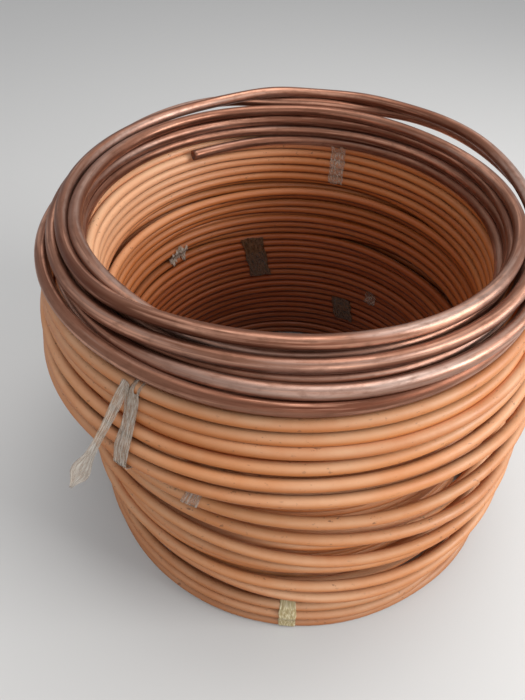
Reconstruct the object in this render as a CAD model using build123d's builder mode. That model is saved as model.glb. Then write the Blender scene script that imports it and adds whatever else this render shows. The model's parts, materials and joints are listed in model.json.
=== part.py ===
from build123d import *
import os
from math import asin, cos, degrees, radians, sin

# Stack of coiled copper tube: five coils of orange-coated tube with one coil of bare tube on top.
#
# The origin is on the floor under the middle of the bore. +Z points up, -Y is the front, where the
# loose tape hangs, and +X is to the right of someone who stands in front. Sizes are millimetres.
# Each coil is one turned solid with a crest for each loose turn outside. The topmost coil also has two
# turns that lie loose on its front and stand up at its back.

# Tube
coated_diameter = 14.0
bare_diameter = 15.0

# Turns that touch nest a little, so their rows are closer than the tube is thick
row_pitch = 13.4
bare_row_pitch = 14.0

# Bore and stack, from the floor up: how many turns high each coated coil is
bore_diameter = 500.0
bottom_turns = 4
fourth_turns = 7
third_turns = 7
second_turns = 7
top_turns = 6
bare_rows = 4

# Where each coil's bore and its loose outside are centred: the stack leans a little to the left, and
# the loose turns of the lower coils hang out to the front
bottom_bore = (5.0, 0.0)
fourth_bore = (3.0, 0.0)
third_bore = (0.0, 0.0)
second_bore = (-4.0, 0.0)
top_bore = (-9.0, 0.0)
bare_bore = (-12.0, -4.0)
bottom_outside = (14.0, -26.0)
fourth_outside = (12.0, -20.0)
third_outside = (12.0, -10.0)
second_outside = (-4.0, -10.0)
top_outside = (-14.0, -2.0)
bare_outside = (-14.0, -13.0)

# The loose turns of each coil: how far out from the bore the tube's centre line is, its height over the
# coil's underside, and how deep the hollow above it is
bottom_loops = [(64.0, 7.0, 13.0), (61.0, 40.0, 8.0)]
fourth_loops = [(60.0, 18.4, 24.0), (61.0, 58.4, 12.0), (53.0, 76.4, 11.0)]
third_loops = [(65.0, 11.6, 24.0), (68.0, 50.6, 13.0), (69.0, 83.6, 12.0)]
second_loops = [(64.0, 28.8, 30.0), (71.0, 83.8, 12.0)]
top_loops = [(72.0, 10.0, 11.0), (65.0, 33.0, 12.0), (47.0, 70.0, 8.0)]
bare_turn_stand_off = 39.0
bare_turn_height = 17.6

# How far the flank of a loose turn falls in for each millimetre of height, where no hollow depth says it
flank_slope = 1.2

# The two standing turns of the bare coil: slack round the turns inside, and how far the back stands up
lower_turn_slack = 11.0
lower_turn_rise = 26.0
upper_turn_slack = 2.5
upper_turn_shift = 3.0
upper_turn_rise = 28.0
seat_sink = 0.5

# Tape
seat_gap = 0.3
tape_thickness = 0.4
tape_margin = 3.0

# Tape in the bore: azimuth and width, and where it isn't as high as its coil, its height and its lower edge
clear_tape_azimuth = 78.0
clear_tape_width = 24.0
brown_tape_azimuth = 110.0
brown_tape_width = 54.0
dark_tape_azimuth = 68.0
dark_tape_width = 45.0
dark_tape_height = 52.0
dark_tape_base = 8.0
faint_tape_azimuth = 57.0
faint_tape_width = 24.0
faint_tape_height = 26.0
crumpled_tape_azimuth = 143.0
crumpled_tape_width = 34.0
crumpled_tape_height = 27.0

# Tape outside, and the loose tail of the strip: where it hangs, and how far out and down its end is
strip_azimuth = -115.0
strip_width = 24.0
patch_azimuth = -105.0
patch_width = 22.0
frayed_tape_azimuth = -86.0
frayed_tape_width = 24.0
tail_azimuth = -117.0
tail_turn = 4.0
tail_width = 12.0
tail_reach = 76.0
tail_drop = 98.0

bore_radius = bore_diameter / 2
bottom_base = 0.0
fourth_base = bottom_base + bottom_turns * row_pitch
third_base = fourth_base + fourth_turns * row_pitch
second_base = third_base + third_turns * row_pitch
top_base = second_base + second_turns * row_pitch
bare_base = top_base + top_turns * row_pitch
bare_top = bare_base + bare_rows * bare_row_pitch


def upright_plane(centre, azimuth=0.0):
    """Plane that holds the vertical through centre: local X points out at azimuth, local Y points up."""
    outward = (cos(radians(azimuth)), sin(radians(azimuth)), 0)
    side = (sin(radians(azimuth)), -cos(radians(azimuth)), 0)
    return Plane(origin=(centre[0], centre[1], 0), x_dir=outward, z_dir=side)


def upright_axis(centre):
    """Vertical line through centre."""
    return Axis((centre[0], centre[1], 0), (0, 0, 1))


def crests(loops, base):
    """The outermost line of each loose turn, from the bottom up, as (radius, height)."""
    wall = bore_radius + coated_diameter / 2
    return [(wall + stand_off, base + height) for stand_off, height, hollow in loops]


def loop_outline(loops, base, top):
    """Outline of the outside, from base to top: a crest at each loose turn and a hollow above it.

    The hollow above the last turn lies at the top, as if the turn were mirrored there.
    """
    turns = crests(loops, base)
    lowest_radius, lowest_height = turns[0]
    last_radius, last_height = turns[-1]
    mirrored = (last_radius, 2 * top - last_height)
    points = [(lowest_radius - flank_slope * (lowest_height - base), base)]
    for loop, turn, above in zip(loops, turns, [*turns[1:], mirrored]):
        points.append(turn)
        points.append(((turn[0] + above[0]) / 2 - loop[2], (turn[1] + above[1]) / 2))
    return points


def coil(label, loops, base, turns, bore_centre, outside_centre):
    """A coated coil: its outside is turned round one centre and its bore round another."""
    height = turns * row_pitch
    with BuildPart() as turned:
        with BuildSketch(upright_plane(outside_centre)):
            with BuildLine():
                outline = loop_outline(loops, base, base + height)
                Polyline((0, base), *outline, (0, base + height), close=True)
            make_face()
        revolve(axis=upright_axis(outside_centre))
        with BuildSketch(Plane.XY.offset(base)):
            with Locations(bore_centre):
                Circle(bore_radius)
        extrude(amount=height, mode=Mode.SUBTRACT)
    turned.part.label = label
    export_step(turned.part, "parts/" + label + ".step")
    return turned


def bare_coil():
    """The bare coil: a wall of turns round the bore, loose turns low outside it, and two standing turns."""
    tube = bare_diameter
    crest_radius = bore_radius + bare_turn_stand_off + tube / 2
    crest_height = bare_base + bare_turn_height
    flank_end = bore_radius + tube / 4
    flank_top = crest_height + (crest_radius - flank_end) / flank_slope
    low_turns = [
        (crest_radius - flank_slope * bare_turn_height, bare_base),
        (crest_radius, crest_height),
        (flank_end, flank_top),
    ]
    wall = [
        (bore_radius + tube, bare_base),
        (bore_radius + tube, bare_top - tube / 2),
        (bore_radius, bare_top),
    ]
    second_layer = bore_radius + 1.5 * tube
    lower_front = crest_height + tube / 2
    upper_front = lower_front + bare_row_pitch
    upper_centre = (bare_bore[0] + upper_turn_shift, bare_bore[1] + upper_turn_slack + seat_sink)
    standing_turns = [
        (bare_outside, second_layer + lower_turn_slack, lower_front, lower_turn_rise),
        (upper_centre, second_layer + upper_turn_slack, upper_front, upper_turn_rise),
    ]
    with BuildPart() as turned:
        with BuildSketch(upright_plane(bare_outside)):
            with BuildLine():
                Polyline((0, bare_base), *low_turns, (0, flank_top), close=True)
            make_face()
        revolve(axis=upright_axis(bare_outside))
        with BuildSketch(upright_plane(bare_bore)):
            with BuildLine():
                Polyline((0, bare_base), *wall, (0, wall[-1][1]), close=True)
            make_face()
        revolve(axis=upright_axis(bare_bore))
        for centre, radius, front_height, rise in standing_turns:
            tilt = degrees(asin(rise / (2 * radius)))
            lying = Plane(origin=(*centre, front_height + rise / 2)).rotated((tilt, 0, 0))
            with BuildSketch(Plane(origin=lying.origin, x_dir=lying.x_dir, z_dir=-lying.y_dir)):
                with Locations((radius, 0)):
                    RegularPolygon(radius=tube / 2, side_count=4)
            revolve(axis=Axis(lying.origin, lying.z_dir))
        with BuildSketch(Plane.XY.offset(bare_base)):
            with Locations(bare_bore):
                Circle(bore_radius)
        extrude(amount=2 * (bare_top - bare_base), mode=Mode.SUBTRACT)
    turned.part.label = "bare_coil"
    export_step(turned.part, "parts/bare_coil.step")
    return turned


def tape(label, centre, azimuth, width, line, outward):
    """A strip of tape along line, a list of (radius, height), as wide as width round the coil."""
    shift = tape_thickness if outward else -tape_thickness
    clear = seat_gap if outward else -seat_gap
    near = [(radius + clear, height) for radius, height in line]
    far = [(radius + shift, height) for radius, height in reversed(near)]
    turn = degrees(width / line[0][0])
    with BuildPart() as strip:
        with BuildSketch(upright_plane(centre, azimuth - turn / 2)):
            with BuildLine():
                Polyline(*near, *far, close=True)
            make_face()
        revolve(axis=upright_axis(centre), revolution_arc=turn)
    strip.part.label = label
    export_step(strip.part, "parts/" + label + ".step")
    return strip


def inside_tape(label, centre, azimuth, width, low, high):
    """A strip of tape that lies on the bore wall between two heights."""
    return tape(label, centre, azimuth, width, [(bore_radius, low), (bore_radius, high)], False)


def seen_from(centre, own_centre, azimuth, crest):
    """A crest round own_centre as (radius, height) at one azimuth round another centre."""
    outward = (own_centre[0] - centre[0]) * cos(radians(azimuth))
    sideways = (own_centre[1] - centre[1]) * sin(radians(azimuth))
    return (crest[0] + outward + sideways, crest[1])


def place_at(centre, azimuth, radius, height):
    """The point at a radius, an azimuth and a height round centre."""
    x = centre[0] + radius * cos(radians(azimuth))
    y = centre[1] + radius * sin(radians(azimuth))
    return (x, y, height)


def tail(label, start, end, width):
    """The loose end of the outside strip: a flat ribbon that hangs away from the turns."""
    down = Vector(*end) - Vector(*start)
    across = down.cross(Vector(start[0], start[1], 0)).normalized()
    ribbon_plane = Plane(origin=start, x_dir=down.normalized(), z_dir=down.cross(across).normalized())
    with BuildPart() as ribbon:
        with BuildSketch(ribbon_plane):
            Rectangle(down.length, width, align=(Align.MIN, Align.CENTER))
        extrude(amount=tape_thickness)
    ribbon.part.label = label
    export_step(ribbon.part, "parts/" + label + ".step")
    return ribbon


def bore_tapes():
    """The pieces of tape on the bore wall, each on its own coil."""
    inside_tape(
        "clear_tape_in_top_coil", top_bore, clear_tape_azimuth, clear_tape_width,
        top_base + tape_margin, bare_base - tape_margin,
    )
    inside_tape(
        "crumpled_tape_in_second_coil", second_bore, crumpled_tape_azimuth, crumpled_tape_width,
        second_base + tape_margin, second_base + tape_margin + crumpled_tape_height,
    )
    inside_tape(
        "brown_tape_in_third_coil", third_bore, brown_tape_azimuth, brown_tape_width,
        third_base + tape_margin, second_base - tape_margin,
    )
    inside_tape(
        "dark_tape_in_fourth_coil", fourth_bore, dark_tape_azimuth, dark_tape_width,
        fourth_base + dark_tape_base, fourth_base + dark_tape_base + dark_tape_height,
    )
    inside_tape(
        "faint_tape_in_fourth_coil", fourth_bore, faint_tape_azimuth, faint_tape_width,
        third_base - tape_margin - faint_tape_height, third_base - tape_margin,
    )


def outside_tapes():
    """The tape over the loose turns, and the tail that hangs from the strip's upper end."""
    top_crests = crests(top_loops, top_base)
    second_crests = crests(second_loops, second_base)
    fourth_crests = crests(fourth_loops, fourth_base)
    bottom_crests = crests(bottom_loops, bottom_base)
    strip_end = seen_from(top_outside, second_outside, strip_azimuth, second_crests[-1])
    strip_line = [*reversed(top_crests), strip_end]
    tape("clear_strip_outside", top_outside, strip_azimuth, strip_width, strip_line, True)
    patch_line = second_crests[::-1]
    tape("clear_patch_on_second_coil", second_outside, patch_azimuth, patch_width, patch_line, True)
    frayed_end = seen_from(bottom_outside, fourth_outside, frayed_tape_azimuth, fourth_crests[0])
    frayed_line = [frayed_end, *reversed(bottom_crests)]
    tape("frayed_tape_on_bottom_coil", bottom_outside, frayed_tape_azimuth, frayed_tape_width, frayed_line, True)
    radius, height = strip_line[0]
    start = place_at(top_outside, tail_azimuth, radius + 3 * seat_gap + 2 * tape_thickness, height)
    end = place_at(top_outside, tail_azimuth - tail_turn, radius + tail_reach, height - tail_drop)
    tail("loose_tail_of_strip", start, end, tail_width)


def main():
    """Builds every coil, from the floor up, and then the tape."""
    os.makedirs("parts", exist_ok=True)
    coil("bottom_coil", bottom_loops, bottom_base, bottom_turns, bottom_bore, bottom_outside)
    coil("fourth_coil", fourth_loops, fourth_base, fourth_turns, fourth_bore, fourth_outside)
    coil("third_coil", third_loops, third_base, third_turns, third_bore, third_outside)
    coil("second_coil", second_loops, second_base, second_turns, second_bore, second_outside)
    coil("top_coil", top_loops, top_base, top_turns, top_bore, top_outside)
    bare_coil()
    bore_tapes()
    outside_tapes()


main()
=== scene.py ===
"""Looks of the copper tube coil: five coils of coated tube with one coil of bare tube on top.

Every coil is wound here as one long tube. Its turns start as circles and are then pressed apart and
smoothed until no two of them share the same place, so they lie on each other as real turns do.
Sizes are millimetres until a mesh is made; azimuths are degrees from +X towards +Y.
"""
import json
import bpy
import numpy as np
from mathutils import Matrix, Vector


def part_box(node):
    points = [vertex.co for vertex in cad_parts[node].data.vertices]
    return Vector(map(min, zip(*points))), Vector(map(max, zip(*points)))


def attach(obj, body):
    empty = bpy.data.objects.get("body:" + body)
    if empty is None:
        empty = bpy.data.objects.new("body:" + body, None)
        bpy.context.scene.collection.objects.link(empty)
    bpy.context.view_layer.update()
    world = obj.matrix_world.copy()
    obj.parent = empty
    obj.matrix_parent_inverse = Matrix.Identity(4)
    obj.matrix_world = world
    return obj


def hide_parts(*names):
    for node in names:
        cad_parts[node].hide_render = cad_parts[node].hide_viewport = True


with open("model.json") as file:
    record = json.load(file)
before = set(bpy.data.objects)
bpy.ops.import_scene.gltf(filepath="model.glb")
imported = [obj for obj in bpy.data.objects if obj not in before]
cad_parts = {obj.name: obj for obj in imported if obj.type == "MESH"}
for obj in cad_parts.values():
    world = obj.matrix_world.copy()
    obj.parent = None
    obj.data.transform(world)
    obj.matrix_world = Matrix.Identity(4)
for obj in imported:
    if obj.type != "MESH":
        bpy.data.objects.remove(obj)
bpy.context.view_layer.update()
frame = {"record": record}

# Diameters of the tube. The coated tube is drawn half a millimetre thin, to keep grooves between its rows.
COATED = 13.5
BARE = 15.0

# The bore's radius, how far apart the rows on its wall are, how many layers of tight rows there are, how
# far out each next layer is, and by what share of a row every other layer is shifted up
BORE = 250.0
ROW_PITCH = 13.4
LAYERS = 3
LAYER_STEP = 12.2
LAYER_SHIFT = 0.3

# Degrees that a turn takes to pass on to the next ring, and how far short of its last pass a tube ends
PASSING = 62
END_SHORT = 20

# The random waves of a ring: their size on the bore wall, and how much more the outer rings have, which
# grows over the radii from OUTER_FROM to OUTER_TO
STRAY, STRAY_OUTSIDE = 1.9, 0.1
OUTER_FROM, OUTER_TO = 262, 312

# How firmly a tight turn and a loose one are held to their rings, and how strongly each round of the
# pressing draws them there, at first and at last
TIGHT_HOLD, LOOSE_HOLD = 1.0, 2.5
PULL, LAST_PULL = 0.12, 0.03

# The pressing: turns nearer than NEAR are pushed apart, by a share of their overlap each time, apart from
# a little that they sink into each other's coating. Each round takes a share of the bend out of the tube,
# and no turn's centre comes closer to the middle of the bore than INNERMOST.
NEAR = 30
PUSH = 0.45
CONTACT_GIVE = 0.2
STIFFNESS = 0.22
INNERMOST = BORE - 5

# How finely the turns are worked out: upright planes round the stack, steps between two of them, and
# sides of the tube. A turn that a coil doesn't have in a plane is set far away there.
PLANES = 72
STEPS_PER_PLANE = 3
SIDES = 14
FAR_AWAY = 5000.0

# Tapes: their thickness, their radius outside, and the turns that they can touch, which lie within
# TAPE_REACH of the bore wall's radius, or of the outside's
FILM = 0.25
TAPE_OUTSIDE = BORE + 70
TURNS_OUTSIDE = BORE + 60
TAPE_REACH = 45.0

MM = 0.001
rng = np.random.default_rng(20)


def coil_box(node):
    """Lowest and highest corner of a node, in millimetres."""
    low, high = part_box(node)
    return np.array(low) / MM, np.array(high) / MM


def camera():
    """The camera stands where the photograph was taken: in front, above, and looking into the bore."""
    stand = (0.010, -0.5822, 0.7818)
    pitch, roll, yaw = np.radians([45.5, 1.2, -5.6])
    focal_pixels, picture_height = 526.0, 700.0
    forward = np.array([np.sin(yaw) * np.cos(pitch), np.cos(yaw) * np.cos(pitch), -np.sin(pitch)])
    right = np.cross(forward, (0, 0, 1))
    right /= np.linalg.norm(right)
    up = np.cross(right, forward)
    right, up = np.cos(roll) * right + np.sin(roll) * up, np.cos(roll) * up - np.sin(roll) * right
    data = bpy.data.cameras.new("camera")
    data.sensor_fit = "VERTICAL"
    data.sensor_height = 36.0
    data.lens = focal_pixels / picture_height * data.sensor_height
    eye = bpy.data.objects.new("camera", data)
    turn = Matrix(np.column_stack([right, up, -forward]).tolist()).to_4x4()
    eye.matrix_world = Matrix.Translation(stand) @ turn
    bpy.context.scene.collection.objects.link(eye)
    bpy.context.scene.camera = eye


def ring(radius, x, y, height, back=0.0, right=0.0, bumps=()):
    """A turn before it is pressed: a circle of that radius round (x, y) at that height.

    back and right say how far it rises towards the back and the right. Each bump is (azimuth, half
    width, outwards, upwards): there the turn leaves its circle.
    """
    return (radius, x, y, height, back, right, bumps)


def rows(low, count, bore_centre, bumps, left_out):
    """Rings of the tight layers from the height low: up the bore wall, down the next layer, and so on.

    bumps holds the bumps of single rows, counted from the floor, and left_out the rows that the second
    layer lacks, so that the row in front of them can be pressed back.
    """
    rings = []
    for layer in range(LAYERS):
        radius = BORE + COATED / 2 + layer * LAYER_STEP
        shift = LAYER_SHIFT * ROW_PITCH if layer % 2 else 0.0
        order = range(count - 1, -1, -1) if layer % 2 else range(count)
        for row in order:
            if layer == 1 and row in left_out:
                continue
            height = low + COATED / 2 + row * ROW_PITCH + shift
            rings.append(ring(radius, *bore_centre, height, bumps=bumps.get(row, ())))
    return rings


def coated_coil(node, bore_centre, loose, inner_pass, outer_passes, bumps=None, left_out=()):
    """A coated coil: its tight rows stand in the node's height, and its loose rings are wound after them.

    The azimuth inner_pass says where each tight turn passes on to the next ring, and outer_passes where
    each loose one does. The tube ends a little short of the last of them.
    """
    low, high = coil_box(node)
    count = round((high[2] - low[2]) / ROW_PITCH)
    tight = rows(low[2], count, bore_centre, bumps or {}, left_out)
    return {
        "node": node,
        "diameter": COATED,
        "bore": bore_centre,
        "rings": tight + loose,
        "passes": [inner_pass] * len(tight) + outer_passes,
        "start": inner_pass,
        "end": outer_passes[-1] - END_SHORT,
        "hold": [TIGHT_HOLD] * len(tight) + [LOOSE_HOLD] * len(loose),
    }


def all_coils():
    """All coils, from the floor up. Each coil's loose rings stand in the order in which they are wound."""
    return [
        coated_coil("bottom_coil", (5, 0), [
            ring(302, 8, -20, 20),
            ring(306, 12, -24, 45),
            ring(308, 15, -30, 33),
            ring(307, 16.4, -31, 7),
        ], inner_pass=-95, outer_passes=[75, -20, -30, 80], bumps={
            0: [(95, 45, -6, 0)],
            1: [(95, 45, -4, 0)],
        }),
        coated_coil("fourth_coil", (3, 0), [
            ring(292, 10, -18, 66),
            ring(303, 8, -16, 90),
            ring(303, 8, -12, 130),
            ring(310, 15, -22, 113, right=-3, bumps=[(-34, 24, 9, 3)]),
            ring(308, 13, -28, 72, right=3, bumps=[(-36, 22, 8, 4)]),
        ], inner_pass=-60, outer_passes=[100, 150, 30, -45, 130]),
        coated_coil("third_coil", (0, 0), [
            ring(302, 6, -8, 180),
            ring(303, 6, -8, 215),
            ring(315, 12, -10, 232, right=5),
            ring(316, 9.4, -12, 198, right=-4, bumps=[(-30, 25, 3, 0)]),
            ring(310, 13.5, -15, 158, right=4, bumps=[(-38, 18, 10, 0)]),
        ], inner_pass=-120, outer_passes=[0, 40, -25, -55, 110], bumps={
            2: [(60, 30, 6, 0)],
            4: [(140, 25, -3, 0)],
            5: [(40, 24, 2, -4), (125, 20, 5, 0)],
            6: [(40, 22, -3, -6), (152, 22, 9, 0)],
        }, left_out=(5, 6)),
        coated_coil("second_coil", (-4, 0), [
            ring(302, -4, -8, 290),
            ring(306, -6, -8, 308),
            ring(325, -11, -10, 325, bumps=[(185, 26, -14, 0)]),
            ring(314, 8, -14, 270, right=3),
        ], inner_pass=-80, outer_passes=[20, 60, 0, 70], bumps={
            0: [(160, 28, 16, 2), (42, 26, 18, 1)],
            2: [(110, 40, -4, -2)],
            3: [(130, 30, 9, 0)],
            4: [(60, 25, 4, 0)],
            5: [(70, 40, 6, 0)],
            6: [(85, 80, -10, 0)],
        }, left_out=(0, 3, 5, 6)),
        coated_coil("top_coil", (-9, 0), [
            ring(300, -12, -8, 352),
            ring(299, -12, -8, 366),
            ring(294, -13, -12, 408),
            ring(294, -16, -15, 390),
            ring(312, -20, -1, 375, bumps=[(190, 25, -8, 0), (222, 20, -8, 5)]),
            ring(318, -19, -2, 361, bumps=[(190, 25, -12, 0), (222, 22, -6, 1)]),
            ring(322, -14, -5, 345, bumps=[(190, 25, -12, 0), (225, 22, 2, -3)]),
        ], inner_pass=-100, outer_passes=[70, 120, 20, -30, 165, 35, 80], bumps={
            0: [(134, 38, 13, 3), (70, 40, 4, 2)],
            3: [(100, 30, 2, 0)],
        }, left_out=(0,)),
        bare_coil(),
    ]


def bare_coil():
    """The bare coil: low loose turns, two turns that rise at the back, and its bore wall from the top down.

    The tube starts at the left, out of sight, and ends in the bore at the back left. It has one turn fewer
    than there are rings, as its last turn passes on to the last ring.
    """
    rings = [
        ring(271, -12, -8, 439),
        ring(289, -17, -14, 432, right=-6),
        ring(278, -12, -8, 423),
        ring(285, -7, -12, 455, back=15, bumps=[(90, 14, -9, 2), (128, 26, 17, 3), (50, 24, 16, 0)]),
        ring(275, -9, 0, 465, back=12, bumps=[(42, 20, 10, 3), (85, 25, 2, 0), (140, 30, 0, -3)]),
        ring(257, -12, -5, 463, back=-4),
        ring(257, -12, -4, 449),
        ring(257, -12, -4, 435),
        ring(255, -12, -4, 420, bumps=[(140, 40, -9, -6)]),
    ]
    return {
        "node": "bare_coil",
        "diameter": BARE,
        "bore": (-12, -4),
        "rings": rings,
        "passes": [150, 190] + [265] * (len(rings) - 2),
        "start": 205,
        "end": 136,
        "hold": [LOOSE_HOLD] * (len(rings) - 1),
    }


def circle_radius(radius, x, y, phi):
    """Distance from the middle to a circle round (x, y), along each azimuth.

    It is c.u + sqrt(R^2 - (c x u)^2) for the circle's centre c and the direction u.
    """
    along = x * np.cos(phi) + y * np.sin(phi)
    across = x * np.sin(phi) - y * np.cos(phi)
    return along + np.sqrt(radius ** 2 - across ** 2)


def ring_targets(rings, phi):
    """Radius and height of every ring at each azimuth, as [plane, ring, 2].

    A bump is exp(-(d / half width)^2) of the azimuth's distance d. Slow random waves of a millimetre or
    two are added, with a little more of them on the loose outer rings.
    """
    targets = np.empty((len(phi), len(rings), 2))
    for column, (radius, x, y, height, back, right, bumps) in enumerate(rings):
        out = circle_radius(radius, x, y, phi)
        up = height + back * np.sin(phi) + right * np.cos(phi)
        for azimuth, half_width, outwards, upwards in bumps:
            away = (np.degrees(phi) - azimuth + 180) % 360 - 180
            swell = np.exp(-(away / half_width) ** 2)
            out = out + outwards * swell
            up = up + upwards * swell
        size = STRAY + STRAY_OUTSIDE * np.clip((radius - OUTER_FROM) / (OUTER_TO - OUTER_FROM), 0, 1)
        for wave in (2, 3, 5, 8):
            lag = rng.uniform(0, 2 * np.pi, 2)
            out = out + size / wave ** 0.6 * np.sin(wave * phi + lag[0])
            up = up + 0.7 * size / wave ** 0.6 * np.sin(wave * phi + lag[1])
        targets[:, column, 0] = out
        targets[:, column, 1] = up
    return targets


def passed_on(targets, passes, seam):
    """Each ring's places, slid over to the next ring's just before the azimuth where the turn passes on.

    The turns are counted from the plane seam, where the tube starts. The slide follows 3t^2 - 2t^3, so
    the tube leaves one ring and joins the next one without a kink.
    """
    width = plane_index(PASSING)
    turned = np.roll(targets, -seam, axis=0)
    ends = np.array([plane_index(azimuth) - seam for azimuth in passes]) % PLANES
    ends[ends < width] += PLANES
    ends = np.minimum(ends, PLANES)
    steps = np.arange(PLANES)[:, None]
    t = np.clip((steps - (ends - width)) / width, 0, 1)[..., None]
    ease = 3 * t ** 2 - 2 * t ** 3
    following = np.concatenate([turned[:, 1:], turned[:, -1:]], axis=1)
    return np.roll(turned * (1 - ease) + following * ease, seam, axis=0)


def plane_index(degrees):
    """The number of the upright plane nearest to an azimuth."""
    return int(round(degrees / 360 * PLANES)) % PLANES


def unwind(values, start):
    """One coil's values [plane, turn] as one long row that follows the tube."""
    return np.roll(values, -start, axis=0).swapaxes(0, 1).reshape(-1, *values.shape[2:])


def rewind(line, start, turns):
    """The long row of unwind, back in its planes and turns."""
    return np.roll(line.reshape(turns, PLANES, *line.shape[1:]).swapaxes(0, 1), start, axis=0)


def wind(coils):
    """Presses the turns of all coils apart.

    It gives the places of all turns, [plane, turn, (radius, height)], then each coil's columns among the
    turns, the plane where its tube starts and the number of planes that the tube passes, and last the
    turns' diameters. The turns are discs in each upright plane. Over and over, each disc is drawn to its
    ring, smoothed along its tube and pressed away from the discs that it overlaps.
    """
    azimuth = np.arange(PLANES) / PLANES * 2 * np.pi
    goals, slices, diameters, least, hold = [], [], [], [], []
    first = 0
    for coil in coils:
        count = len(coil["hold"])
        seam = plane_index(coil["start"])
        goals.append(passed_on(ring_targets(coil["rings"], azimuth), coil["passes"], seam)[:, :count])
        last_turn = (plane_index(coil["end"]) - seam) % PLANES + 1
        goals[-1][(seam + np.arange(last_turn, PLANES)) % PLANES, -1] = FAR_AWAY
        slices.append((slice(first, first + count), seam, (count - 1) * PLANES + last_turn))
        diameters += [coil["diameter"]] * count
        hold += coil["hold"]
        innermost = circle_radius(INNERMOST, *coil["bore"], azimuth)
        least.append(np.repeat(innermost[:, None], count, axis=1))
        first += count
    goal = np.concatenate(goals, axis=1)
    least = np.concatenate(least, axis=1)
    diameters = np.array(diameters)
    hold = np.array(hold)[None, :, None]

    # Pairs of turns that come near each other somewhere, and how each pair's push is shared out
    spread = np.abs(goal[:, :, None] - goal[:, None]).max(axis=3).min(axis=0)
    one, other = np.nonzero(np.triu(spread < NEAR, 1))
    reach = (diameters[one] + diameters[other]) / 2 - CONTACT_GIVE
    share = np.zeros((len(one), len(diameters)))
    share[np.arange(len(one)), one] = 1
    share[np.arange(len(one)), other] = -1

    place = goal.copy()
    rounds = 160
    for step in range(rounds):
        pull = PULL if step < rounds * 0.6 else LAST_PULL
        place += pull * hold * (goal - place)
        for columns, seam, used in slices:
            line = unwind(place[:, columns], seam)
            bend = line[:used - 2] + line[2:used] - 2 * line[1:used - 1]
            line[1:used - 1] += STIFFNESS * bend
            place[:, columns] = rewind(line, seam, columns.stop - columns.start)
        for repeat in range(2):
            apart = place[:, one] - place[:, other]
            distance = np.maximum(np.sqrt((apart ** 2).sum(axis=2)), 0.1)
            push = PUSH * np.maximum(reach - distance, 0) / distance
            moves = (push[..., None] * apart).swapaxes(1, 2).reshape(-1, len(one)) @ share
            place += moves.reshape(PLANES, 2, -1).swapaxes(1, 2)
            place[..., 1] = np.maximum(place[..., 1], diameters / 2)
            place[..., 0] = np.maximum(place[..., 0], least)
    return place, slices, diameters


def smooth_line(line, count):
    """A Catmull-Rom curve through the points of line, read at count places evenly spaced in number."""
    at = np.linspace(0, len(line) - 1, count)
    base = np.clip(np.floor(at).astype(int), 0, len(line) - 2)
    t = (at - base)[:, None]
    a, b = line[np.maximum(base - 1, 0)], line[base]
    c, d = line[base + 1], line[np.minimum(base + 2, len(line) - 1)]
    return b + 0.5 * t * (c - a + t * (2 * a - 5 * b + 4 * c - d + t * (3 * (b - c) + d - a)))


def tube(name, centre, diameter):
    """A tube with open ends, as one closed surface: rings of a circle across the tube at each centre.

    At each end the rings go on inwards: over the wall's edge and back along the inside to a closed pole.
    The attribute "wound" holds the place along the tube and across it, for streaks that follow it.
    """
    along = np.gradient(centre, axis=0)
    along /= np.linalg.norm(along, axis=1)[:, None]
    side = np.cross(along, (0, 0, 1))
    side /= np.linalg.norm(side, axis=1)[:, None]
    up = np.cross(side, along)
    length = np.concatenate([[0], np.cumsum(np.linalg.norm(np.diff(centre, axis=0), axis=1))])

    wall, end_depth, pole = 1.0, 25.0, 0.02
    outer = diameter / 2
    inner = outer - wall
    last = len(centre) - 1
    deep = int(np.clip(np.searchsorted(length, end_depth), 1, last // 3))
    index = np.concatenate([[deep, deep, 0], np.arange(last + 1), [last, last - deep, last - deep]])
    size = np.concatenate([[pole, inner, inner], np.full(last + 1, outer), [inner, inner, pole]])

    angle = np.arange(SIDES) / SIDES * 2 * np.pi
    across = np.stack([np.cos(angle), np.sin(angle)], axis=1)
    offset = across[None, :, :1] * side[index, None] + across[None, :, 1:] * up[index, None]
    points = centre[index, None] + size[:, None, None] * offset
    wound = np.empty(points.shape)
    wound[..., 0] = length[index, None]
    wound[..., 1:] = size[:, None, None] * across[None]

    ring_count = len(index)
    first = np.arange(ring_count - 1)[:, None] * SIDES
    a = first + np.arange(SIDES)[None]
    b = first + (np.arange(SIDES)[None] + 1) % SIDES
    quads = np.stack([a, b, b + SIDES, a + SIDES], axis=2).reshape(-1, 4)
    caps = [np.arange(SIDES)[::-1].tolist(), (np.arange(SIDES) + (ring_count - 1) * SIDES).tolist()]
    mesh = bpy.data.meshes.new(name)
    mesh.from_pydata(points.reshape(-1, 3) * MM, [], quads.tolist() + caps)
    mesh.polygons.foreach_set("use_smooth", np.ones(len(mesh.polygons), bool))
    store = mesh.attributes.new("wound", "FLOAT_VECTOR", "POINT")
    store.data.foreach_set("vector", (wound.reshape(-1) * MM).astype(np.float32))
    piece = bpy.data.objects.new(name, mesh)
    bpy.context.scene.collection.objects.link(piece)
    return piece


def coil_tubes(coils, place, slices):
    """Makes one tube for each coil from its wound turns, with finer steps along it."""
    for coil, (columns, seam, used) in zip(coils, slices):
        node, diameter = coil["node"], coil["diameter"]
        line = unwind(place[:, columns], seam)[:used]
        azimuth = (seam + np.arange(used)) / PLANES * 2 * np.pi
        fine = smooth_line(np.column_stack([line, azimuth]), (len(line) - 1) * STEPS_PER_PLANE + 1)
        radius, height, turn = fine.T
        height = np.maximum(height, diameter / 2)
        centre = np.column_stack([radius * np.cos(turn), radius * np.sin(turn), height])
        finish_piece(tube(node + "_tube", centre, diameter), node)


def finish_piece(piece, node, film=None):
    """Gives a piece its node's material, or the film named instead, and its place in the frame."""
    slot = SLOTS[node]
    piece.data.materials.append(MATERIALS[film or slot])
    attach(piece, "root")
    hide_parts(node)


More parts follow.
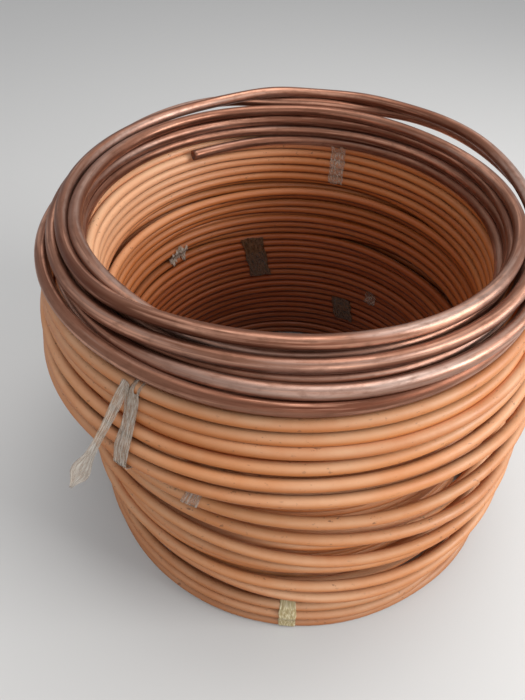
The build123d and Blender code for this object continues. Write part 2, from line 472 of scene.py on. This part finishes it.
def discs_at(azimuth, place, diameters):
    """Radius, height and tube radius of all turns at an azimuth, between its two nearest planes."""
    at = (azimuth / 360 * PLANES) % PLANES
    before = int(at)
    t = at - before
    cut = place[before] * (1 - t) + place[(before + 1) % PLANES] * t
    return cut[:, 0], cut[:, 1], diameters / 2


def taut_line(azimuth, heights, place, diameters, outward):
    """Radius of a strip stretched over the turns at an azimuth.

    The turns' outline is the largest r + sqrt(R^2 - (z - z0)^2) at each height, or the smallest with a
    minus inside the bore. The strip is the outline pulled straight between the turns that it touches.
    """
    sign = 1 if outward else -1
    r, z, size = discs_at(azimuth, place, diameters)
    drop = size[:, None] ** 2 - (heights[None] - z[:, None]) ** 2
    near = (drop > 0) & (np.abs(r[:, None] - (TURNS_OUTSIDE if outward else BORE)) < TAPE_REACH)
    outline = np.where(near, sign * r[:, None] + np.sqrt(np.maximum(drop, 0)), -FAR_AWAY).max(axis=0)
    touched = outline > -FAR_AWAY
    outline = np.interp(heights, heights[touched], outline[touched])
    line = outline.copy()
    for repeat in range(400):
        line[1:-1] = np.maximum(outline[1:-1], (line[:-2] + line[2:]) / 2)
    return sign * line


def sheet_mesh(name, face):
    """A closed thin sheet: a grid of points and the same grid moved back by FILM, joined at the rim.

    Its UV map, "sheet", runs from 0 to 1 along both sides of the grid.
    """
    rows_count, columns_count = face.shape[:2]
    du = np.gradient(face, axis=0)
    dv = np.gradient(face, axis=1)
    normal = np.cross(du, dv)
    normal /= np.maximum(np.linalg.norm(normal, axis=2), 1e-9)[..., None]
    points = np.concatenate([face.reshape(-1, 3), (face - FILM * normal).reshape(-1, 3)])
    grid = np.arange(rows_count * columns_count).reshape(rows_count, columns_count)
    a, b, c, d = grid[:-1, :-1], grid[1:, :-1], grid[1:, 1:], grid[:-1, 1:]
    front = np.stack([a, b, c, d], axis=2).reshape(-1, 4)
    back = front[:, ::-1] + grid.size
    rim = np.concatenate([grid[:-1, 0], grid[-1, :-1], grid[:0:-1, -1], grid[0, :0:-1]])
    following = np.roll(rim, -1)
    sides = np.stack([following, rim, rim + grid.size, following + grid.size], axis=1)
    mesh = bpy.data.meshes.new(name)
    mesh.from_pydata(points * MM, [], np.concatenate([front, back, sides]).tolist())
    mesh.polygons.foreach_set("use_smooth", np.ones(len(mesh.polygons), bool))
    layer = mesh.uv_layers.new(name="sheet")
    share = np.meshgrid(np.linspace(0, 1, rows_count), np.linspace(0, 1, columns_count), indexing="ij")
    uv = np.tile(np.stack(share, axis=2).reshape(-1, 2), (2, 1))
    corner = np.empty(len(mesh.loops), np.int32)
    mesh.loops.foreach_get("vertex_index", corner)
    layer.data.foreach_set("uv", uv[corner].reshape(-1).astype(np.float32))
    piece = bpy.data.objects.new(name, mesh)
    bpy.context.scene.collection.objects.link(piece)
    return piece


def crumple(rows_count, columns_count, size):
    """Random wrinkles on a grid: sums of slanted sine waves, finer ones lower, from 0 to size."""
    u, v = np.meshgrid(np.linspace(0, 1, rows_count), np.linspace(0, 1, columns_count), indexing="ij")
    total = np.zeros(u.shape)
    for wave in range(1, 9):
        a = rng.uniform(-1, 1) * 5 * wave
        b = rng.uniform(-1, 1) * 4 * wave
        lag = rng.uniform(0, 2 * np.pi)
        total += np.abs(np.sin(a * u + b * v + lag)) / wave
    return size * total / total.max()


def tape(node, azimuth, width, low, high, outward, slant=0.0, wrinkle=0.8, fray=2.0, flare=0.0, film=None):
    """A strip of tape over the turns, from the height low to the height high, outside or in the bore.

    At each azimuth across its width it is the taut line over the turns, lifted a little by wrinkles, and
    at its lower end by the flare. Its ends are torn, its sides a little uneven, and it slants by some
    degrees from bottom to top.
    """
    across, upwards = 25, 97
    u = np.linspace(-0.5, 0.5, across)
    share = np.linspace(0, 1, upwards)
    spread = np.degrees(width / (TAPE_OUTSIDE if outward else BORE))
    tear = fray * (rng.uniform(-1, 1, (2, across)) + np.sin(9 * u + rng.uniform(0, 6, (2, 1))))
    lift = crumple(across, upwards, wrinkle)
    face = np.empty((across, upwards, 3))
    edge = 0.03 * spread * np.sin(14 * share + rng.uniform(0, 6)) * np.sign(u)[:, None]
    all_heights = np.linspace(low - 10, high + 10, 160)
    for column in range(across):
        heights = max(low + tear[0, column], 1) * (1 - share) + (high + tear[1, column]) * share
        angle = azimuth + u[column] * spread + edge[column] + slant * (share - 0.5)
        taut = taut_line(angle[upwards // 2], all_heights, PLACE, DIAMETERS, outward)
        radius = np.interp(heights, all_heights, taut)
        radius += (0.5 + lift[column] + flare * (1 - share) ** 2) * (1 if outward else -1)
        phi = np.radians(angle)
        face[column] = np.stack([radius * np.cos(phi), radius * np.sin(phi), heights], axis=1)
    if not outward:
        face = face[::-1]
    finish_piece(sheet_mesh(node + "_strip", face), node, film)


def loose_tail():
    """The loose end of the outside strip: a ribbon along a bent line, twisted, widest near its torn tip.

    The line is a quadratic curve through a start, a pull and an end; the ribbon's half width follows the
    share s of its length, and its direction turns about the line by the twist.
    """
    start, pull, tip = np.array([(-143, -280, 416), (-168, -303, 362), (-206, -331, 303)], float)
    along_count, across_count = 61, 11
    s = np.linspace(0, 1, along_count)[:, None]
    line = (1 - s) ** 2 * start + 2 * s * (1 - s) * pull + s ** 2 * tip
    along = np.gradient(line, axis=0)
    along /= np.linalg.norm(along, axis=1)[:, None]
    level = np.cross(along, (0, 0, 1))
    level /= np.linalg.norm(level, axis=1)[:, None]
    away = np.cross(level, along)
    twist = np.radians(15 + 30 * s)
    half = 5.2 + 0.8 * np.sin(9 * s) + 4.2 * np.exp(-((s - 0.83) / 0.09) ** 2)
    half = half * np.clip((1.03 - s) / 0.14, 0.12, 1)
    u = np.linspace(-1, 1, across_count)[None, :, None]
    side = (np.cos(twist) * level + np.sin(twist) * away)[:, None]
    normal = (np.cos(twist) * away - np.sin(twist) * level)[:, None]
    curl = 1.6 * (u ** 2) + crumple(along_count, across_count, 1.1)[..., None]
    face = line[:, None] + u * half[:, None] * side + curl * normal
    finish_piece(sheet_mesh("loose_tail_of_strip_ribbon", face), "loose_tail_of_strip")


def material(name):
    """A new material with a Principled shader, with its node tree and that shader."""
    made = bpy.data.materials.new(name)
    made.use_nodes = True
    return made, made.node_tree, made.node_tree.nodes["Principled BSDF"]


def new_node(tree, kind, **settings):
    """A new shader node with some of its settings."""
    new = tree.nodes.new(kind)
    for key, value in settings.items():
        setattr(new, key, value)
    return new


def noise(tree, source, scale, detail=3.0, stretch=(1, 1, 1), move=(0, 0, 0)):
    """Noise, from 0 to 1, on a coordinate that is first scaled and moved."""
    mapping = new_node(tree, "ShaderNodeMapping")
    mapping.inputs["Scale"].default_value = stretch
    mapping.inputs["Location"].default_value = move
    tree.links.new(source, mapping.inputs["Vector"])
    spots = new_node(tree, "ShaderNodeTexNoise")
    spots.inputs["Scale"].default_value = scale
    spots.inputs["Detail"].default_value = detail
    spots.inputs["Roughness"].default_value = 0.6
    tree.links.new(mapping.outputs["Vector"], spots.inputs["Vector"])
    return spots.outputs["Fac"]


def ramp(tree, source, stops):
    """A colour ramp: stops are (position, colour or grey)."""
    made = new_node(tree, "ShaderNodeValToRGB")
    elements = made.color_ramp.elements
    while len(elements) < len(stops):
        elements.new(0.5)
    for element, (position, colour) in zip(elements, stops):
        element.position = position
        element.color = (*colour, 1) if isinstance(colour, tuple) else (colour, colour, colour, 1)
    tree.links.new(source, made.inputs["Fac"])
    return made.outputs["Color"]


def mixed(tree, amount, first, second):
    """The first colour with an amount of the second one laid over it; each is a socket or a value."""
    mix = new_node(tree, "ShaderNodeMix", data_type="RGBA")
    for socket, value in ((mix.inputs[0], amount), (mix.inputs[6], first), (mix.inputs[7], second)):
        if isinstance(value, bpy.types.NodeSocket):
            tree.links.new(value, socket)
        elif isinstance(value, tuple):
            socket.default_value = (*value, 1)
        else:
            socket.default_value = value
    return mix.outputs[2]


def maths(tree, operation, *values):
    """One sum on sockets or numbers."""
    sum_node = new_node(tree, "ShaderNodeMath", operation=operation)
    for socket, value in zip(sum_node.inputs, values):
        if isinstance(value, bpy.types.NodeSocket):
            tree.links.new(value, socket)
        else:
            socket.default_value = value
    return sum_node.outputs[0]


def bump(tree, shader, source, strength, distance):
    """Relief from a height in the range 0 to 1."""
    relief = new_node(tree, "ShaderNodeBump")
    relief.inputs["Strength"].default_value = strength
    relief.inputs["Distance"].default_value = distance
    tree.links.new(source, relief.inputs["Height"])
    tree.links.new(relief.outputs["Normal"], shader.inputs["Normal"])


def linear(red, green, blue):
    """A colour as it is seen, 0 to 255, in the shader's own scale."""
    seen = np.array([red, green, blue]) / 255
    return tuple(float(v) for v in np.where(seen <= 0.04045, seen / 12.92, ((seen + 0.055) / 1.055) ** 2.4))


def level_of(tree, source, axis):
    """One of the three numbers of a vector."""
    split = new_node(tree, "ShaderNodeSeparateXYZ")
    tree.links.new(source, split.inputs["Vector"])
    return split.outputs[axis]


def product(tree, first, second):
    """Two masks multiplied."""
    return maths(tree, "MULTIPLY", first, second)


def rest_of(tree, share):
    """What a mask leaves over: 1 minus it."""
    return maths(tree, "SUBTRACT", 1.0, share)


def exposed(tree, place):
    """How much dust and painted light reach a place, and where a painted pool of light lies.

    All the dust and light reach the outside, and some of them the bore, further down on the left than on
    the right, as light from the right would. The painted pool of light lies only on the upper left of the
    bore.
    """
    level = new_node(tree, "ShaderNodeVectorMath", operation="MULTIPLY")
    level.inputs[1].default_value = (1, 1, 0)
    tree.links.new(place, level.inputs[0])
    distance = new_node(tree, "ShaderNodeVectorMath", operation="LENGTH")
    tree.links.new(level.outputs["Vector"], distance.inputs[0])
    outside = ramp(tree, distance.outputs["Value"], [(0.262, 0.0), (0.30, 1.0)])

    leftwards = product(tree, level_of(tree, place, "X"), -0.3)
    high = maths(tree, "ADD", level_of(tree, place, "Z"), leftwards)
    # Painted light: a pale pool on the upper left of the bore, where light from the right falls in.
    painted_light_upper_left = product(tree, ramp(tree, high, [(0.38, 0.0), (0.47, 0.6)]), rest_of(tree, outside))
    # Dust, and painted light that reaches further down the bore's left wall.
    dust_and_light_high = ramp(tree, high, [(0.26, 0.0), (0.42, 0.7), (0.48, 1.0)])
    return maths(tree, "MAXIMUM", outside, dust_and_light_high), painted_light_upper_left


def grooves(tree, wound, radius, shaded_share):
    """Painted shade: a dark line along the underside of a tube, where it meets the turn below. It is
    broader where the shaded share is larger.
    """
    below = maths(tree, "DIVIDE", level_of(tree, wound, "Z"), -radius)
    below = maths(tree, "ADD", below, product(tree, shaded_share, 0.35))
    patchy = ramp(tree, noise(tree, wound, 1.0, detail=3, stretch=(25, 90, 90)), [(0.3, 0.55), (0.7, 1.0)])
    return product(tree, ramp(tree, below, [(0.3, 0.0), (0.8, 1.0)]), patchy)


def orange_coating():
    """Satin orange plastic: faded, with dust and painted light where it is open to the room, and with
    painted shade low in the bore.

    Streaks follow the tube; painted shade darkens the grooves under the tubes; the colour is darker near
    the floor; grime sits in spots.
    """
    made, tree, shader = material("orange_coating")
    wound = new_node(tree, "ShaderNodeAttribute", attribute_name="wound").outputs["Vector"]
    place = new_node(tree, "ShaderNodeTexCoord").outputs["Object"]
    height = level_of(tree, place, "Z")
    dust_and_light_reach, painted_light_upper_left = exposed(tree, place)
    shaded_share = rest_of(tree, dust_and_light_reach)

    deep, middle, light = linear(190, 101, 45), linear(206, 117, 56), linear(218, 135, 72)
    slow = noise(tree, wound, 1.0, stretch=(1.6, 20, 20))
    colour = ramp(tree, slow, [(0.3, deep), (0.5, middle), (0.7, light)])
    streak = noise(tree, wound, 1.0, detail=4, stretch=(9, 420, 420))
    colour = mixed(tree, ramp(tree, streak, [(0.45, 0.0), (0.75, 0.3)]), colour, linear(170, 88, 40))

    # Painted shade: the bore wall turns deep orange and darker towards its bottom, where less light
    # reaches.
    low = ramp(tree, height, [(0.02, 0.75), (0.20, 0.6), (0.36, 0.25), (0.42, 0.0)])
    colour = mixed(tree, product(tree, low, shaded_share), colour, linear(142, 58, 10))
    # Faded, and painted paler, wherever the dust and light reach.
    colour = mixed(tree, product(tree, dust_and_light_reach, 0.25), colour, linear(214, 150, 92))
    # Painted light: the pale pool on the upper left of the bore.
    colour = mixed(tree, painted_light_upper_left, colour, linear(242, 190, 150))

    # Dust and painted light: the tops of the tubes are paler in patches, for dust lying there and for light
    # falling from above.
    normal = new_node(tree, "ShaderNodeNewGeometry").outputs["Normal"]
    upward = ramp(tree, level_of(tree, normal, "Z"), [(0.05, 0.0), (0.85, 1.0)])
    patches = ramp(tree, noise(tree, place, 9, detail=5), [(0.36, 0.35), (0.66, 1.0)])
    dust_and_top_light = product(tree, product(tree, upward, patches), product(tree, dust_and_light_reach, 0.75))
    colour = mixed(tree, dust_and_top_light, colour, linear(228, 182, 142))

    near_floor = ramp(tree, height, [(0.01, 0.45), (0.08, 0.0)])
    colour = mixed(tree, near_floor, colour, linear(142, 86, 52))
    specks = ramp(tree, noise(tree, wound, 240, detail=2, stretch=(0.6, 1, 1)), [(0.64, 0.0), (0.72, 0.7)])
    spotted = ramp(tree, noise(tree, place, 14), [(0.42, 0.0), (0.6, 1.0)])
    colour = mixed(tree, product(tree, specks, spotted), colour, linear(104, 68, 48))
    # Painted shade: a dark line along the underside of each tube, broader deep in the bore.
    groove_shade = product(tree, grooves(tree, wound, COATED / 2 * MM, shaded_share), 0.9)
    colour = mixed(tree, groove_shade, colour, linear(56, 24, 8))
    tree.links.new(colour, shader.inputs["Base Color"])

    rough = ramp(tree, noise(tree, place, 30, detail=4), [(0.3, 0.4), (0.7, 0.58)])
    tree.links.new(rough, shader.inputs["Roughness"])
    shader.inputs["Specular IOR Level"].default_value = 0.45
    bump(tree, shader, noise(tree, wound, 1.0, detail=5, stretch=(120, 700, 700)), 0.25, 0.0004)
    return made


def bare_copper():
    """Drawn copper, tarnished brown and mauve, with bright streaks where it was rubbed, and blotches."""
    made, tree, shader = material("bare_copper")
    wound = new_node(tree, "ShaderNodeAttribute", attribute_name="wound").outputs["Vector"]
    place = new_node(tree, "ShaderNodeTexCoord").outputs["Object"]

    dark, middle, light = linear(100, 55, 38), linear(146, 102, 82), linear(188, 160, 147)
    slow = noise(tree, wound, 1.0, detail=4, stretch=(3, 60, 60))
    colour = ramp(tree, slow, [(0.3, dark), (0.5, middle), (0.7, light)])
    rub = noise(tree, wound, 1.0, detail=3, stretch=(5, 160, 160), move=(3, 0, 0))
    colour = mixed(tree, ramp(tree, rub, [(0.52, 0.0), (0.7, 1.0)]), colour, linear(214, 160, 134))
    blotch = noise(tree, wound, 1.0, detail=5, stretch=(70, 160, 160))
    colour = mixed(tree, ramp(tree, blotch, [(0.5, 0.0), (0.75, 0.6)]), colour, linear(112, 76, 58))
    tree.links.new(colour, shader.inputs["Base Color"])

    shader.inputs["Metallic"].default_value = 0.92
    rough = ramp(tree, noise(tree, place, 24, detail=4), [(0.3, 0.36), (0.7, 0.54)])
    tree.links.new(rough, shader.inputs["Roughness"])
    bump(tree, shader, noise(tree, wound, 1.0, detail=5, stretch=(60, 500, 500)), 0.2, 0.0003)
    return made


def tape_film(name, base, creased, covers, rough):
    """Adhesive tape: a thin film that covers a share of what is behind it, and more along its creases."""
    made, tree, shader = material(name)
    sheet = new_node(tree, "ShaderNodeTexCoord").outputs["UV"]
    creases = ramp(tree, noise(tree, sheet, 1.0, detail=4, stretch=(9, 9, 1)), [(0.42, 0.0), (0.66, 1.0)])
    tree.links.new(mixed(tree, creases, base, creased), shader.inputs["Base Color"])
    tree.links.new(maths(tree, "MULTIPLY_ADD", creases, 0.3, covers), shader.inputs["Alpha"])
    tree.links.new(ramp(tree, creases, [(0.0, rough), (1.0, rough + 0.2)]), shader.inputs["Roughness"])
    bump(tree, shader, creases, 0.5, 0.0006)
    return made


MATERIALS = {
    "orange_coating": orange_coating(),
    "bare_copper": bare_copper(),
    "clear_tape": tape_film("clear_tape", linear(198, 178, 156), linear(234, 226, 214), 0.42, 0.2),
    "thin_clear_tape": tape_film("thin_clear_tape", linear(206, 176, 150), linear(232, 220, 206), 0.2, 0.2),
    "brown_tape": tape_film("brown_tape", linear(92, 62, 38), linear(122, 90, 62), 0.85, 0.25),
    "yellowed_tape": tape_film("yellowed_tape", linear(206, 184, 130), linear(240, 228, 190), 0.6, 0.3),
}
SLOTS = {part["node"]: part["material_slot"] for part in frame["record"]["subparts"]}


def seen_and_lit(tree, seen, lit):
    """One colour where the camera, a reflection or a see-through piece looks, another for bounced light."""
    path = new_node(tree, "ShaderNodeLightPath")
    looked = maths(tree, "MAXIMUM", path.outputs["Is Camera Ray"], path.outputs["Is Glossy Ray"])
    looked = maths(tree, "MAXIMUM", looked, path.outputs["Is Transmission Ray"])
    return mixed(tree, looked, lit, seen)


def stage():
    """A plain pale floor, a pale surround, and soft lamps from the right, above and the front.

    The floor and the surround give less light than they show, so that the bore falls off to dark.
    """
    reach = 6.0
    mesh = bpy.data.meshes.new("floor")
    floor_corners = [(-reach, -reach, 0), (reach, -reach, 0), (reach, reach, 0), (-reach, reach, 0)]
    mesh.from_pydata(floor_corners, [], [(0, 1, 2, 3)])
    floor = bpy.data.objects.new("floor", mesh)
    bpy.context.scene.collection.objects.link(floor)
    made, tree, shader = material("floor")
    colour = seen_and_lit(tree, seen=(0.66, 0.65, 0.63), lit=(0.08, 0.075, 0.07))
    tree.links.new(colour, shader.inputs["Base Color"])
    shader.inputs["Roughness"].default_value = 0.8
    mesh.materials.append(made)

    world = bpy.data.worlds.new("surround")
    bpy.context.scene.world = world
    world.use_nodes = True
    background = world.node_tree.nodes["Background"]
    colour = seen_and_lit(world.node_tree, seen=(0.58, 0.58, 0.59), lit=(0.50, 0.51, 0.53))
    world.node_tree.links.new(colour, background.inputs["Color"])
    background.inputs["Strength"].default_value = 1.0

    for name, place, size, power in (
        ("window", (2.3, -0.5, 1.5), 1.2, 48),
        ("ceiling", (0.3, 0.5, 2.7), 1.4, 24),
        ("door", (0.7, -2.4, 1.3), 1.6, 13),
    ):
        data = bpy.data.lights.new(name, "AREA")
        data.size = size
        data.energy = power
        lamp = bpy.data.objects.new(name, data)
        lamp.location = place
        lamp.rotation_euler = (-lamp.location).to_track_quat("-Z", "Y").to_euler()
        bpy.context.scene.collection.objects.link(lamp)


camera()
stage()
COILS = all_coils()
PLACE, SLICES, DIAMETERS = wind(COILS)
coil_tubes(COILS, PLACE, SLICES)

# Each tape's node, azimuth, width, lowest and highest place, and whether it lies outside
tape("clear_tape_in_top_coil", 79.5, 24, 350, 414, False, wrinkle=1.5, film="thin_clear_tape")
tape("crumpled_tape_in_second_coil", 145.5, 34, 240, 266, False, wrinkle=4.0, fray=5.0)
tape("brown_tape_in_third_coil", 110, 39, 153, 238, False, slant=4, wrinkle=0.8, fray=1.0)
tape("dark_tape_in_fourth_coil", 69, 40, 64, 112, False, slant=3, wrinkle=0.8, fray=1.0)
tape("faint_tape_in_fourth_coil", 57, 22, 124, 152, False, film="thin_clear_tape")
tape("clear_strip_outside", -116.3, 16, 302, 414, True, slant=1.5, wrinkle=1.5, fray=3.0, flare=5.0)
tape("clear_patch_on_second_coil", -105.5, 18, 250, 306, True, slant=3, wrinkle=1.5, film="thin_clear_tape")
tape("frayed_tape_on_bottom_coil", -85.5, 21, 4, 58, True, wrinkle=1.0, fray=2.0)
loose_tail()
bpy.context.scene.view_settings.view_transform = "Standard"
